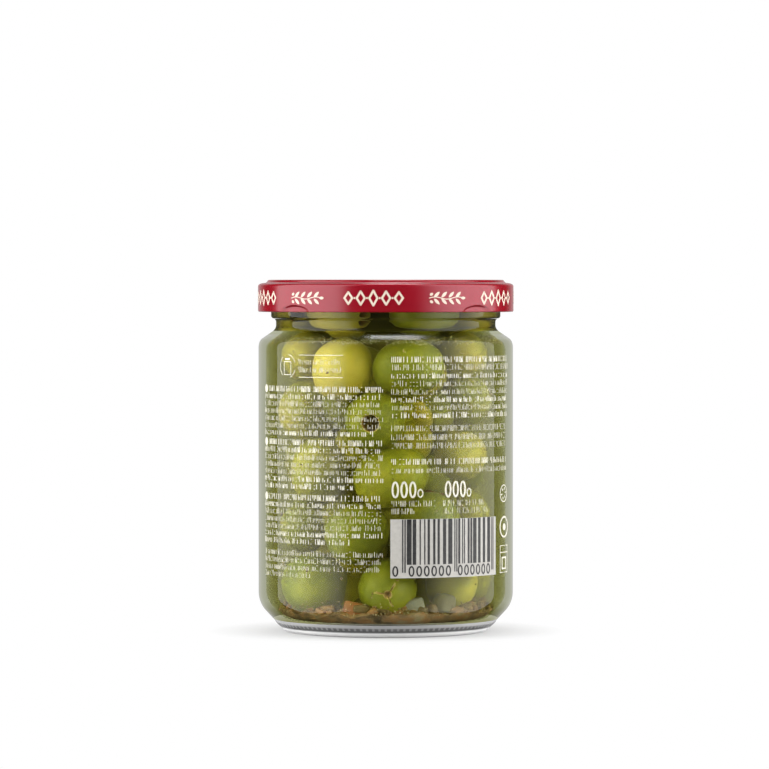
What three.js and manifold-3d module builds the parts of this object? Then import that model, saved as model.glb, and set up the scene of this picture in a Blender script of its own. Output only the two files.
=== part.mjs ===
// A clear glass jar of green olives, shut by a red twist-off lid and standing upright.
// Millimetres, +Z up. The origin is the middle of the base, on the surface the jar stands on.
// The front faces -Y, and +X is to the right of someone who looks at it.

import * as THREE from 'three';
import { mergeVertices } from 'three/addons/utils/BufferGeometryUtils.js';
import Module from 'manifold-3d';

const wasm = await Module();
wasm.setup();

// Driving dimensions
const JAR_HEIGHT = 110;
const LID_HEIGHT = 10;
const LID_RADIUS = 40;
const BODY_RADIUS = 39.85;
const NECK_RADIUS = 34.35;
const BEAD_RADIUS = 35.9;
const FOOT_RADIUS = 30.4;
const WALL = 2.45;
const NECK_WALL = 2.85;
const FLOOR = 3.9;
const CLEARANCE = 0.4;

// Heights along the glass
const HEEL_TOP = 12.5;
const SHOULDER_FOOT = 88.6;
const NECK_FOOT = 95.8;
const BEAD_FOOT = 97.9;
const RIM = JAR_HEIGHT - 1.7;

// Lid details
const LID_FOOT = JAR_HEIGHT - LID_HEIGHT;
const SKIRT_INSIDE = LID_RADIUS - 1.1;
const CURL_INSIDE = LID_RADIUS - 1.8;
const STEP_RADIUS = 37.2;
const PANEL_RADIUS = 34.2;
const PANEL_TOP = JAR_HEIGHT - 0.5;
const BUTTON_RADIUS = 14;
const LUGS = 4;
const LUG_BEARING = 45;

// Contents
const RING_RADIUS = 24.8;
const NECK_RING_RADIUS = 21;
const CORE_RADIUS = 18;
const NECK_CORE_RADIUS = 15.6;
const BED_RADIUS = 28.2;
const BED_TOP = 6.6;
const SCRAPS = 14;

// A faceted ball has its corners this much further out, so that it keeps an olive's volume
const FACET_ALLOWANCE = 1.04;

const ROUND_SIDES = 48;
const CURVE_STEPS = 3;

const degrees = THREE.MathUtils.degToRad;

// The contents, from the neck down. Each row names the olives that show in front: the bearing is in
// degrees from the front, + to the right, and the lean is the long axis's angle above level. An
// olive that is end on points its long axis outward, and a scrap of one has a smaller ring of its
// own. The rest of the row is filled by "behind" more.
const ROWS = [
  {
    behind: 3,
    front: [
      { bearing: -80, height: 86, length: 18.6, girth: 15.9, lean: 8 },
      { bearing: -32, height: 82.2, length: 19.7, girth: 19.1, lean: 70 },
      { bearing: 16, height: 82.8, length: 22.3, girth: 17.6, lean: 6 },
      { bearing: 78, height: 86.2, length: 19.1, girth: 14.8, lean: -12 },
    ],
  },
  {
    behind: 3,
    front: [
      { bearing: -77, height: 68.8, length: 20.4, girth: 18.7, lean: 75 },
      { bearing: -8, height: 66.6, length: 19.1, girth: 18.7, lean: 0, endOn: true },
      { bearing: 30, height: 68.5, length: 11.1, girth: 7.4, lean: -50, ring: 20.5 },
      { bearing: 80, height: 72.5, length: 18.7, girth: 16.7, lean: 10 },
    ],
  },
  {
    behind: 3,
    front: [
      { bearing: -106, height: 53, length: 18, girth: 15.9, lean: 80 },
      { bearing: -56, height: 51, length: 20.8, girth: 18, lean: 78 },
      { bearing: 4, height: 49.2, length: 23.7, girth: 18.9, lean: 18 },
      { bearing: 68, height: 55.4, length: 21.4, girth: 16.1, lean: -4 },
    ],
  },
  {
    behind: 3,
    front: [
      { bearing: -80, height: 33.2, length: 19.1, girth: 17.4, lean: 12 },
      { bearing: -21, height: 31.6, length: 20.6, girth: 18.4, lean: 30 },
      { bearing: 33, height: 36, length: 19.7, girth: 17, lean: -8 },
      { bearing: 88, height: 36.5, length: 19.1, girth: 15.9, lean: 20 },
    ],
  },
  {
    behind: 3,
    front: [
      { bearing: -62, height: 15.4, length: 23, girth: 19.4, lean: -6 },
      { bearing: 1, height: 14.8, length: 18.7, girth: 18, lean: 0, endOn: true },
      { bearing: 55, height: 16, length: 18.4, girth: 16.3, lean: 70 },
      { bearing: 102, height: 16.5, length: 19.5, girth: 17, lean: 25 },
    ],
  },
];
const NECK_OLIVES = 6;
const NECK_BEARING = 24;
const NECK_OLIVE_HEIGHT = 99.3;

// A seeded draw, so that the contents come out the same each time
let seed = 4711;
function draw(low, high) {
  seed = (seed * 16807) % 2147483647;
  return low + ((high - low) * seed) / 2147483647;
}

// A closed geometry as a solid: only positions are kept, and triangles that fold to a line go
function solid(geometry) {
  const bare = geometry.clone();
  bare.deleteAttribute('normal');
  bare.deleteAttribute('uv');
  const merged = mergeVertices(bare, 1e-4);
  const index = merged.index.array;
  const kept = [];
  for (let i = 0; i < index.length; i += 3) {
    const [a, b, c] = [index[i], index[i + 1], index[i + 2]];
    if (a !== b && b !== c && c !== a) {
      kept.push(a, b, c);
    }
  }
  const vertProperties = new Float32Array(merged.attributes.position.array);
  return new wasm.Manifold(new wasm.Mesh({ numProp: 3, vertProperties, triVerts: new Uint32Array(kept) }));
}

function meshOf(name, body, material) {
  const { vertProperties, triVerts } = body.getMesh();
  const geometry = new THREE.BufferGeometry();
  geometry.setAttribute('position', new THREE.BufferAttribute(new Float32Array(vertProperties), 3));
  geometry.setIndex(new THREE.BufferAttribute(new Uint32Array(triVerts), 1));
  geometry.computeVertexNormals();
  const mesh = new THREE.Mesh(geometry, material);
  mesh.name = name;
  return mesh;
}

// A profile of radius and height, turned about the upright axis
function turned(profile, sides = ROUND_SIDES) {
  return solid(new THREE.LatheGeometry(profile.getPoints(CURVE_STEPS), sides).rotateX(Math.PI / 2));
}

// The place at a bearing from the front, a distance from the axis and a height
function placeAt(bearing, radius, height) {
  const turn = degrees(bearing);
  return new THREE.Vector3(radius * Math.sin(turn), -radius * Math.cos(turn), height);
}

// The jar: up the outside from the pushed-up base, over the rim and down the inside
function glassJar() {
  const neckInside = NECK_RADIUS - NECK_WALL;
  const bodyInside = BODY_RADIUS - WALL;
  const profile = new THREE.Path();
  profile.moveTo(0, 1.6);
  profile.lineTo(FOOT_RADIUS - 7, 1.3);
  profile.lineTo(FOOT_RADIUS - 4.2, 0.9);
  profile.lineTo(FOOT_RADIUS - 3.2, 0);
  profile.lineTo(FOOT_RADIUS, 0);
  profile.quadraticCurveTo(FOOT_RADIUS + 1.4, 0, FOOT_RADIUS + 2.2, 1);
  profile.lineTo(BODY_RADIUS - 2.1, 6.7);
  profile.quadraticCurveTo(BODY_RADIUS, 9.1, BODY_RADIUS, HEEL_TOP);
  profile.lineTo(BODY_RADIUS, SHOULDER_FOOT);
  profile.quadraticCurveTo(BODY_RADIUS, SHOULDER_FOOT + 2.3, BODY_RADIUS - 1.2, SHOULDER_FOOT + 3.1);
  profile.lineTo(NECK_RADIUS + 1.2, NECK_FOOT - 2);
  profile.quadraticCurveTo(NECK_RADIUS, NECK_FOOT - 1.1, NECK_RADIUS, NECK_FOOT);
  profile.lineTo(NECK_RADIUS, NECK_FOOT + 1);
  profile.quadraticCurveTo(NECK_RADIUS, BEAD_FOOT - 0.3, NECK_RADIUS + 0.8, BEAD_FOOT);
  profile.quadraticCurveTo(BEAD_RADIUS, BEAD_FOOT + 0.2, BEAD_RADIUS, BEAD_FOOT + 1);
  profile.lineTo(BEAD_RADIUS, BEAD_FOOT + 2.1);
  profile.quadraticCurveTo(BEAD_RADIUS, BEAD_FOOT + 3, BEAD_RADIUS - 0.9, BEAD_FOOT + 3.2);
  profile.lineTo(BEAD_RADIUS - 0.9, RIM - 0.7);
  profile.quadraticCurveTo(BEAD_RADIUS - 0.9, RIM, BEAD_RADIUS - 1.6, RIM);
  profile.lineTo(neckInside + 1.5, RIM);
  profile.quadraticCurveTo(neckInside + 0.8, RIM, neckInside + 0.8, RIM - 0.7);
  profile.lineTo(neckInside, BEAD_FOOT + 4);
  profile.lineTo(neckInside, NECK_FOOT - 0.2);
  profile.quadraticCurveTo(neckInside, NECK_FOOT - 1.6, neckInside + 1.4, NECK_FOOT - 2.7);
  profile.lineTo(bodyInside - 1.4, SHOULDER_FOOT + 2.3);
  profile.quadraticCurveTo(bodyInside, SHOULDER_FOOT + 1.3, bodyInside, SHOULDER_FOOT - 0.8);
  profile.lineTo(bodyInside, HEEL_TOP + 0.4);
  profile.quadraticCurveTo(bodyInside, HEEL_TOP - 2.5, bodyInside - 1.8, HEEL_TOP - 4.4);
  profile.lineTo(FOOT_RADIUS + 2.2, FLOOR + 1.1);
  profile.quadraticCurveTo(FOOT_RADIUS + 1, FLOOR, FOOT_RADIUS - 0.8, FLOOR);
  profile.lineTo(0, FLOOR + 0.3);
  return turned(profile);
}

// The lid: along the underside, down inside the skirt, round the curl, up the outside and in over
// the step and the panel to the button. Over each lug the skirt is tucked in.
function lidShell() {
  const profile = new THREE.Path();
  profile.moveTo(0, PANEL_TOP - 0.7);
  profile.lineTo(PANEL_RADIUS - 0.4, PANEL_TOP - 0.7);
  profile.lineTo(STEP_RADIUS - 0.6, PANEL_TOP - 0.9);
  profile.quadraticCurveTo(SKIRT_INSIDE, PANEL_TOP - 1.1, SKIRT_INSIDE, PANEL_TOP - 2.4);
  profile.lineTo(SKIRT_INSIDE, LID_FOOT + 2);
  profile.lineTo(CURL_INSIDE, LID_FOOT + 1.5);
  profile.lineTo(CURL_INSIDE, LID_FOOT + 0.5);
  profile.lineTo(CURL_INSIDE + 0.4, LID_FOOT);
  profile.lineTo(LID_RADIUS - 0.4, LID_FOOT);
  profile.lineTo(LID_RADIUS, LID_FOOT + 0.4);
  profile.lineTo(LID_RADIUS, JAR_HEIGHT - 2.1);
  profile.lineTo(LID_RADIUS - 0.3, JAR_HEIGHT - 1.5);
  profile.lineTo(LID_RADIUS - 1.6, JAR_HEIGHT - 1);
  profile.lineTo(STEP_RADIUS + 0.3, JAR_HEIGHT - 0.9);
  profile.quadraticCurveTo(STEP_RADIUS, JAR_HEIGHT, STEP_RADIUS - 0.9, JAR_HEIGHT);
  profile.lineTo(PANEL_RADIUS + 0.6, JAR_HEIGHT);
  profile.lineTo(PANEL_RADIUS, PANEL_TOP);
  profile.lineTo(BUTTON_RADIUS + 1, PANEL_TOP);
  profile.lineTo(BUTTON_RADIUS, PANEL_TOP + 0.3);
  profile.lineTo(0, PANEL_TOP + 0.4);

  let shell = turned(profile);
  for (let i = 0; i < LUGS; i += 1) {
    shell = shell.subtract(lugTuck(LUG_BEARING + (360 * i) / LUGS));
  }
  return shell;
}

// What is taken off the skirt's lower edge over one lug: an arch that is widest at the edge
function lugTuck(bearing) {
  const [deep, wide, high] = [2, 8, 2.7];
  const tuck = new THREE.SphereGeometry(1, 12, 8).rotateX(Math.PI / 2).scale(wide, deep, high);
  const middle = placeAt(bearing, LID_RADIUS + 1.2, LID_FOOT);
  tuck.rotateZ(degrees(bearing)).translate(middle.x, middle.y, middle.z);
  return solid(tuck);
}

// One olive, an ellipsoid whose long axis lies along the ring, or points outward where it is end on
function olive({ bearing, height, length, girth, lean, endOn = false, ring = RING_RADIUS }) {
  const half = FACET_ALLOWANCE / 2;
  const shape = new THREE.IcosahedronGeometry(1, 1).scale(length * half, girth * half, girth * half);
  if (endOn) {
    shape.rotateZ(-Math.PI / 2);
  } else {
    shape.rotateY(-degrees(lean));
  }
  const middle = placeAt(bearing, ring, height);
  shape.rotateZ(degrees(bearing)).translate(middle.x, middle.y, middle.z);
  return solid(shape);
}

// The olives of one row that are hidden from the front, shared out over the rest of the ring
function oliveBehind(row, i) {
  const first = row.front[row.front.length - 1].bearing;
  const step = (row.front[0].bearing + 360 - first) / (row.behind + 1);
  const middle = row.front[1].height;
  return {
    bearing: first + step * (i + 1) + draw(-3, 3),
    height: middle + draw(-1.5, 1.5),
    length: draw(18.5, 21.5),
    girth: draw(16.4, 18.6),
    lean: draw(-80, 80),
  };
}

// The olives in the neck, a smaller ring of them up to the lid
function neckOlive(i) {
  return {
    bearing: NECK_BEARING + (360 * i) / NECK_OLIVES + draw(-3, 3),
    height: NECK_OLIVE_HEIGHT + draw(-0.6, 0.6),
    length: draw(18, 20),
    girth: draw(15, 16),
    lean: draw(-12, 12),
    ring: NECK_RING_RADIUS,
  };
}

// The core that the olives are fused to, with the bed of herbs and scraps on the floor of the jar
function heapCore() {
  const floor = FLOOR + CLEARANCE + 0.2;
  const profile = new THREE.Path();
  profile.moveTo(0, floor);
  profile.lineTo(BED_RADIUS, floor);
  profile.lineTo(BED_RADIUS + 1.6, BED_TOP);
  profile.lineTo(CORE_RADIUS, BED_TOP + 0.8);
  profile.lineTo(CORE_RADIUS, SHOULDER_FOOT);
  profile.lineTo(NECK_CORE_RADIUS, NECK_FOOT);
  profile.lineTo(NECK_CORE_RADIUS, RIM - 4);
  profile.lineTo(0, RIM - 3);
  return turned(profile, 16);
}

// One scrap of pepper or garlic that lies on the bed, between the lowest olives
function scrap(i) {
  const [long, wide, thick] = [draw(5, 8), draw(3, 4.5), draw(2.4, 3.6)];
  const piece = new THREE.BoxGeometry(long, wide, thick);
  piece.rotateX(degrees(draw(-25, 25))).rotateZ(degrees(draw(-60, 60)));
  const middle = placeAt((360 * i) / SCRAPS + draw(-8, 8), BED_RADIUS - 2.2, BED_TOP + 0.8);
  return solid(piece.translate(middle.x, middle.y, middle.z));
}

function oliveHeap() {
  let heap = heapCore();
  for (const row of ROWS) {
    for (const shown of row.front) {
      heap = heap.add(olive(shown));
    }
    for (let i = 0; i < row.behind; i += 1) {
      heap = heap.add(olive(oliveBehind(row, i)));
    }
  }
  for (let i = 0; i < NECK_OLIVES; i += 1) {
    heap = heap.add(olive(neckOlive(i)));
  }
  for (let i = 0; i < SCRAPS; i += 1) {
    heap = heap.add(scrap(i));
  }
  return heap;
}

const clearGlass = new THREE.MeshStandardMaterial({
  color: 0xdfe6dc,
  roughness: 0.05,
  metalness: 0,
  transparent: true,
  opacity: 0.35,
});
const redLacquer = new THREE.MeshStandardMaterial({ color: 0x9c1224, roughness: 0.32, metalness: 0.25 });
const oliveSkin = new THREE.MeshStandardMaterial({ color: 0x8f8f35, roughness: 0.45, metalness: 0 });

const jar = new THREE.Group();
jar.add(meshOf('glass_jar', glassJar(), clearGlass));
jar.add(meshOf('lid', lidShell(), redLacquer));
jar.add(meshOf('olive_heap', oliveHeap(), oliveSkin));

export default jar;
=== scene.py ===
# The looks of a clear glass jar of green olives under a red twist-off lid: the glass and the brine,
# the olives with the scraps among them, the lacquered lid and the cream print. Shapes are worked out
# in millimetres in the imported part's frame, and turned into metres where a mesh is made.

import math
import random

import bmesh
import bpy
from mathutils import Euler, Matrix, Vector, noise

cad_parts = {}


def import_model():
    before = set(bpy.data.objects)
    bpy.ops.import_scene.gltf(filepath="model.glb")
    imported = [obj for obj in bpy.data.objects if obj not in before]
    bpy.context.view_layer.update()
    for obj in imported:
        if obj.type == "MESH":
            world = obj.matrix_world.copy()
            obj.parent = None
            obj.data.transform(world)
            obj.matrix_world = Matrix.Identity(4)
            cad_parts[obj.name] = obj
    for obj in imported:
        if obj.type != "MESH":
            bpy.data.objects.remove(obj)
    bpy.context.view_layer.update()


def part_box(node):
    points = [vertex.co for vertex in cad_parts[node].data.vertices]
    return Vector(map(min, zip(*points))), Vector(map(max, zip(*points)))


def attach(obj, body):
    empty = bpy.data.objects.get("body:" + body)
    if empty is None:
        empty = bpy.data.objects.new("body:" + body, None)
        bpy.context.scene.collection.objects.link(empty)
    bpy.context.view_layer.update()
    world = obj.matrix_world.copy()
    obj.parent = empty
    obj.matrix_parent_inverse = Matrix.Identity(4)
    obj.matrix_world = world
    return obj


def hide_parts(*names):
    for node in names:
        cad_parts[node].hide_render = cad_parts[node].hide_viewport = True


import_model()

MM = 0.001

# Driving dimensions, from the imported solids
JAR_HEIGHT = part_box("lid")[1].z / MM
LID_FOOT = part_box("lid")[0].z / MM
LID_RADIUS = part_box("lid")[1].x / MM
BODY_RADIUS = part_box("glass_jar")[1].x / MM
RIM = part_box("glass_jar")[1].z / MM

# The glass, with the solid's dimensions
NECK_RADIUS = 34.35
BEAD_RADIUS = 35.9
FOOT_RADIUS = 30.4
WALL = 2.45
NECK_WALL = 2.85
FLOOR = 3.9
HEEL_TOP = 12.5
SHOULDER_FOOT = 88.6
NECK_FOOT = 95.8
BEAD_FOOT = 97.9
WALL_TOP = 94.2
NECK_INSIDE = NECK_RADIUS - NECK_WALL
BODY_INSIDE = BODY_RADIUS - WALL

# The lid, with the solid's dimensions
SKIRT_INSIDE = LID_RADIUS - 1.1
CURL_INSIDE = LID_RADIUS - 1.8
STEP_RADIUS = 37.2
PANEL_RADIUS = 34.2
PANEL_TOP = JAR_HEIGHT - 0.5
BUTTON_RADIUS = 14
LUGS = 4
LUG_BEARING = 45

# The contents. Rings and bed have the solid's dimensions, but the bed is carried further out, near
# the glass. The core is thinner than the solid's, with an inner ring of olives round it. The brine
# has no solid.
RING_RADIUS = 24.8
NECK_RING_RADIUS = 21
INNER_RING_RADIUS = 16.2
CORE_RADIUS = 11
BED_RADIUS = 28.2
BED_TOP = 6.6
BRINE_TOP = 105.6
INTO_WALL = 0.15

# The camera: where the photo was taken from
EYE_DISTANCE = 1450
EYE_HEIGHT = 108.4
EYE_ASIDE = -0.39
AIM_DROP = 31.2
FRAME_SPAN = 241
SENSOR = 36

# The olives that show in front, row by row from the neck down. The bearing is in degrees from the
# front, + to the right, and the lean is the long axis's angle above level. An olive that is end on
# points its long axis outward: "hole" shows its pit hole and "cut" its crossed cut. Three depart from
# the solid: the two that are end on lean, and the first of the last row is 3 degrees further right,
# 0.8 mm further out and 0.6 mm thicker.
# The tone picks an olive's green, and for these olives it is also painted light and shade: those at the
# jar's sides are made lighter and those in the middle darker.
OLIVE_KEYS = ("bearing", "height", "length", "girth", "lean", "tone", "ring", "end")
ROWS = [
    [
        (-80, 86, 18.6, 15.9, 8, 0.85),
        (-32, 82.2, 19.7, 19.1, 70, 0.95),
        (16, 82.8, 22.3, 17.6, 6, 0.12),
        (78, 86.2, 19.1, 14.8, -12, 0.75),
    ],
    [
        (-77, 68.8, 20.4, 18.7, 75, 0.65),
        (-8, 66.6, 19.1, 18.7, 4, 0.15, RING_RADIUS, "hole"),
        (30, 68.5, 11.1, 7.4, -50, 1, 20.5),
        (80, 72.5, 18.7, 16.7, 10, 0.4),
    ],
    [
        (-106, 53, 18, 15.9, 80, 0.5),
        (-56, 51, 20.8, 18, 78, 0.55),
        (4, 49.2, 23.7, 18.9, 18, 0.35),
        (68, 55.4, 21.4, 16.1, -4, 0.7),
    ],
    [
        (-80, 33.2, 19.1, 17.4, 12, 0.4),
        (-21, 31.6, 20.6, 18.4, 30, 0.15),
        (33, 36, 19.7, 17, -8, 0.1),
        (88, 36.5, 19.1, 15.9, 20, 0.5),
    ],
    [
        (-59, 15.4, 23, 20, -6, 0.16, 25.6),
        (1, 14.8, 18.7, 18, -8, 0.1, RING_RADIUS, "cut"),
        (55, 16, 18.4, 16.3, 70, 0.62),
        (102, 16.5, 19.5, 17, 25, 0.6),
    ],
]

# The other olives are drawn at random: how far the bearing swings and the height rises or falls, the
# ranges of length and girth, and the steepest lean. First come those behind each row.
BEHIND = 3
BEHIND_OLIVE = dict(swing=3, rise=1.5, lengths=(18.5, 21.5), girths=(16.4, 18.6), steepest=80)

# Those in the neck, whose first is further round than the solid's, for the dark gap beside it
NECK_OLIVES = 6
NECK_BEARING = 24
NECK_OLIVE_HEIGHT = 99.3
NECK_PARTING = 9
NECK_OLIVE = dict(
    swing=3, rise=0.6, lengths=(18, 20), girths=(15, 16), steepest=12, ring=NECK_RING_RADIUS, tone=0.95
)

# Those nearer the axis, level by level from the lowest, each level turned further than the last
INNER_LEVELS = 7
INNER_OLIVES = 6
INNER_FOOT = 14
INNER_STEP = 11.2
INNER_TURN = 37
INNER_OLIVE = dict(
    swing=8, rise=1.5, lengths=(17, 19), girths=(15.5, 17), steepest=80, ring=INNER_RING_RADIUS
)


class Draws:
    """The solid's own seeded draws, which the hidden olives take again in the same order."""

    def __init__(self, seed):
        self.seed = seed

    def between(self, low, high):
        self.seed = (self.seed * 16807) % 2147483647
        return low + (high - low) * self.seed / 2147483647


def profile(*stretches):
    """A chain of (radius, height) points. The first stretch is where it starts. One of two or three
    values is a straight line to a point, in steps, and one of four or five is a curve that bends
    towards its first point and ends at its second."""
    points = [stretches[0]]
    for stretch in stretches[1:]:
        r0, h0 = points[-1]
        curved = len(stretch) > 3
        steps = stretch[-1] if len(stretch) % 2 else 6 if curved else 1
        for i in range(1, steps + 1):
            t = i / steps
            if curved:
                r1, h1, r2, h2 = stretch[:4]
                a, b, c = (1 - t) ** 2, 2 * t * (1 - t), t * t
                points.append((a * r0 + b * r1 + c * r2, a * h0 + b * h1 + c * h2))
            else:
                r1, h1 = stretch[:2]
                points.append((r0 + (r1 - r0) * t, h0 + (h1 - h0) * t))
    return points


def put_in_scene(name, data):
    body = bpy.data.objects.new(name, data)
    bpy.context.scene.collection.objects.link(body)
    return body


def make_piece(name, verts, faces, materials, sharp=40, floats=None):
    """A smooth-shaded mesh object from points in millimetres, which rides on the part."""
    mesh = bpy.data.meshes.new(name)
    mesh.from_pydata([(x * MM, y * MM, z * MM) for x, y, z in verts], [], faces)
    mesh.validate()
    mesh.shade_smooth()
    if sharp:
        mesh.set_sharp_from_angle(angle=math.radians(sharp))
    for key, values in (floats or {}).items():
        layer = mesh.attributes.new(key, "FLOAT", "POINT")
        layer.data.foreach_set("value", values)
    for material in materials:
        mesh.materials.append(material)
    piece = put_in_scene(name, mesh)
    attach(piece, "root")
    return piece


def walls(rings, over=False):
    """The faces between each two rings of point numbers, which can be turned over."""
    faces = []
    for low, high in zip(rings, rings[1:]):
        for i, j in enumerate(list(range(1, len(low))) + [0]):
            corners = [low[i], high[i], high[j], low[j]] if over else [low[i], low[j], high[j], high[i]]
            faces.append(tuple(dict.fromkeys(corners)))
    return faces


def turned(points, sides, bend=None):
    """Points and faces of a profile turned about the upright axis, which starts and ends on it. bend
    gives a point's radius from its radius, height and angle."""
    verts, rings = [], []
    for radius, height in points:
        if radius < 1e-6:
            rings.append([len(verts)] * sides)
            verts.append((0.0, 0.0, height))
            continue
        rings.append(list(range(len(verts), len(verts) + sides)))
        for i in range(sides):
            angle = 2 * math.pi * i / sides
            r = bend(radius, height, angle) if bend else radius
            verts.append((r * math.sin(angle), -r * math.cos(angle), height))
    return verts, walls(rings)


def stands_for_heap(piece):
    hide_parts("olive_heap")


def place_at(bearing, radius, height):
    turn = math.radians(bearing)
    return Vector((radius * math.sin(turn), -radius * math.cos(turn), height))


# Materials


class Nodes:
    """A short way to write the node tree of a material, a lamp or the world. A value is a number, a
    colour, or the output socket that gives it."""

    def __init__(self, owner, output="OutputMaterial"):
        self.owner = owner
        owner.use_nodes = True
        self.tree = owner.node_tree
        self.tree.nodes.clear()
        self.output = self.add(output)

    def put(self, value, socket):
        if isinstance(value, bpy.types.NodeSocket):
            self.tree.links.new(value, socket)
        else:
            socket.default_value = value

    def add(self, kind, **values):
        """A node of a kind, with its settings and sockets set or linked by name."""
        node = self.tree.nodes.new("ShaderNode" + kind)
        for key, value in values.items():
            if hasattr(node, key):
                setattr(node, key, value)
            else:
                self.put(value, node.inputs[key.replace("_", " ")])
        return node

    def out(self, kind, **values):
        """The first output of such a node."""
        return self.add(kind, **values).outputs[0]

    def attribute(self, name):
        return self.add("Attribute", attribute_name=name).outputs["Fac"]

    def fill(self, node, *values):
        """The first output of a node whose sockets take the values in order."""
        for socket, value in zip(node.inputs, values):
            self.put(value, socket)
        return node.outputs[0]

    def math(self, operation, *values):
        return self.fill(self.add("Math", operation=operation), *values)

    def times(self, first, second):
        return self.math("MULTIPLY", first, second)

    def blend(self, share, first, second):
        """One shader mixed into another."""
        return self.fill(self.add("MixShader"), share, first, second)

    def mix(self, share, first, second):
        """One colour mixed into another."""
        node = self.add("Mix", data_type="RGBA")
        for index, value in ((0, share), (6, first), (7, second)):
            self.put(value, node.inputs[index])
        return node.outputs[2]

    def spread(self, value, start, stop, low=0.0, high=1.0, curve="LINEAR"):
        """A number carried from one range to another, and held at the ends."""
        node = self.add("MapRange", interpolation_type=curve)
        return self.fill(node, value, start, stop, low, high)

    def ramp(self, factor, *stops):
        """A colour ramp from (position, colour) stops."""
        node = self.add("ValToRGB")
        self.put(factor, node.inputs[0])
        points = node.color_ramp.elements
        while len(points) < len(stops):
            points.new(0.5)
        for point, (at, colour) in zip(points, stops):
            point.position = at
            point.color = colour
        return node.outputs[0]

    def where(self):
        """The place on the object, in metres from the part's origin."""
        return self.add("TexCoord").outputs["Object"]

    def noise(self, scale, detail, roughness=0.5):
        node = self.add("TexNoise", Vector=self.where(), Scale=scale, Detail=detail, Roughness=roughness)
        return node.outputs["Fac"]

    def axis(self, vector, name):
        return self.add("SeparateXYZ", Vector=vector).outputs[name]

    def light(self, name):
        """What is known of the ray that asks."""
        return self.add("LightPath").outputs[name]

    def direct(self, rays):
        """Of some rays, those that have met no matt surface yet."""
        return self.times(rays, self.math("LESS_THAN", self.light("Diffuse Depth"), 0.5))

    def facing(self):
        """0 where a surface faces the eye, 1 where it is seen edge on."""
        return self.add("LayerWeight", Blend=0.5).outputs["Facing"]

    def front(self):
        """1 where a surface is seen from its outside, 0 from its inside."""
        return self.math("SUBTRACT", 1.0, self.add("NewGeometry").outputs["Backfacing"])

    def relief(self, height, strength, depth):
        """Normals of a relief whose depth is in metres."""
        return self.out("Bump", Strength=strength, Distance=depth, Height=height)

    def mirrored(self, body, share, rough=0.0):
        """A shader under the mirror of glass, whose strength is multiplied by a share."""
        strength = self.times(self.out("Fresnel", IOR=GLASS_IOR), share)
        return self.blend(strength, body, self.out("BsdfGlossy", Color=grey(1), Roughness=rough))

    def close(self, surface, volume=None):
        self.put(surface, self.output.inputs["Surface"])
        if volume:
            self.put(volume, self.output.inputs["Volume"])
        return self.owner


def material(name):
    return Nodes(bpy.data.materials.new(name))


def grey(level):
    return (level, level, level, 1)


GLASS_IOR = 1.45

# Heights on the outside of the glass where its look changes. The foot is banded in painted reflections
# and shade. Above it the sides are dark up to the second height. On the shoulder the mirror turns soft,
# and higher up it ends.
FOOT_TOP = 4.3
DARK_SIDE_TOP = 8.5
MIRROR_SOFTENS = (90.2, 91.0)
MIRROR_ENDS = (92.7, 93.3)
SHOULDER_ROUGHNESS = 0.19


def thick_glass_material():
    """The glass of the neck and the bead, which bends what lies behind it."""
    n = material("thick_glass")
    edge = n.spread(n.facing(), 0.5, 0.85, curve="SMOOTHSTEP")
    tint = n.mix(edge, (0.985, 0.988, 0.98, 1), (0.2, 0.2, 0.12, 1))
    glass = n.out("BsdfGlass", Color=tint, Roughness=0.0, IOR=GLASS_IOR)
    clear = n.out("BsdfTransparent", Color=(0.95, 0.965, 0.94, 1))
    return n.close(n.blend(n.light("Is Shadow Ray"), glass, clear))


def wall_material():
    """The outside of wall and shoulder, which mirrors but bends no light, as brine is behind it."""
    n = material("wall_glass")
    height = n.axis(n.where(), "Z")
    low = n.spread(height, DARK_SIDE_TOP * MM, FOOT_TOP * MM)
    side = n.mix(low, (0.66, 0.67, 0.57, 1), (0.33, 0.33, 0.15, 1))
    edge = n.spread(n.facing(), 0.22, 0.5, curve="SMOOTHSTEP")
    clear = n.out("BsdfTransparent", Color=n.mix(edge, (0.965, 0.972, 0.95, 1), side))
    rough = n.spread(height, *[h * MM for h in MIRROR_SOFTENS], 0.0, SHOULDER_ROUGHNESS)
    left = n.spread(height, *[h * MM for h in MIRROR_ENDS], 1.0, 0.1)
    return n.close(n.mirrored(clear, n.times(n.front(), left), rough))


def wetted_material():
    """The glass's inside, which vanishes where the brine wets it."""
    n = material("wetted_glass")
    return n.close(n.out("BsdfTransparent", Color=(0.985, 0.99, 0.975, 1)))


# The bands of painted reflections and shade on the foot, from the floor up, as (share of its height, grey)
FOOT_LIGHT_AND_SHADE = (
    (0.0, 0.15), (0.04, 0.3), (0.09, 0.82), (0.16, 0.75), (0.23, 0.95), (0.3, 1.0), (0.34, 0.8),
    (0.38, 0.26), (0.45, 0.12), (0.66, 0.17), (0.73, 0.44), (1.0, 0.5),
)

# The row of grip bars round the foot
KNURLS = 112
KNURL_HEIGHT = 2.6
KNURL_REACH = 0.9
KNURL_DEPTH = 0.22


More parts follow.
